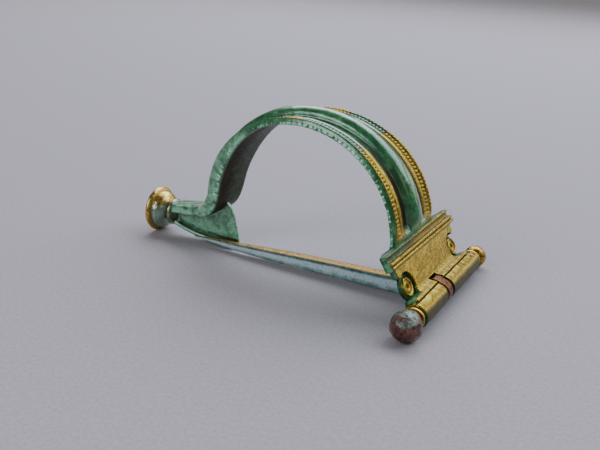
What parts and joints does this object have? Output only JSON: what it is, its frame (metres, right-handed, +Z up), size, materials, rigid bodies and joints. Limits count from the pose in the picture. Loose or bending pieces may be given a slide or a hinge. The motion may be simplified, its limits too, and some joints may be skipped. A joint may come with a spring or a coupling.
{
  "type": "fibula brooch",
  "caption": "Hinged bow brooch: an arched ribbed bow, a head plate rolled round an axle with ball ends, a swinging pin, a curled catch and a foot knob.",
  "frame": {"origin": "the middle of the brooch's box, on the plane that it stands on", "axes": "+X runs along the brooch from the foot knob to the hinge, +Y along the hinge away from the pin's side, +Z up"},
  "size_m": [0.0546, 0.035, 0.0255],
  "materials": {
    "bow_bronze": "cast bronze with green patina, worn to gold on the ridges and the head plate",
    "foot_knob_brass": "worn brass with grey-green patina",
    "axle_iron": "rusted iron",
    "collar_brass": "worn brass",
    "near_ball_iron": "pitted bronze with rust from the iron axle",
    "far_ball_bronze": "golden-brown worn bronze",
    "pin_bronze": "bronze with pale blue-green patina and a rubbed golden edge"
  },
  "bodies": {
    "brooch": {"bow": "bow_bronze", "foot_knob": "foot_knob_brass", "hinge_axle": "axle_iron", "near_collar": "collar_brass", "far_collar": "collar_brass", "near_ball": "near_ball_iron", "far_ball": "far_ball_bronze"},
    "pin": {"pin": "pin_bronze"}
  },
  "joints": [
    {"name": "pin_swing", "type": "hinge", "parent": "brooch", "child": "pin", "pos_m": [0.02515, 0, 0.0021], "axis": [0, -1, 0], "range_deg": [0, 100]}
  ]
}
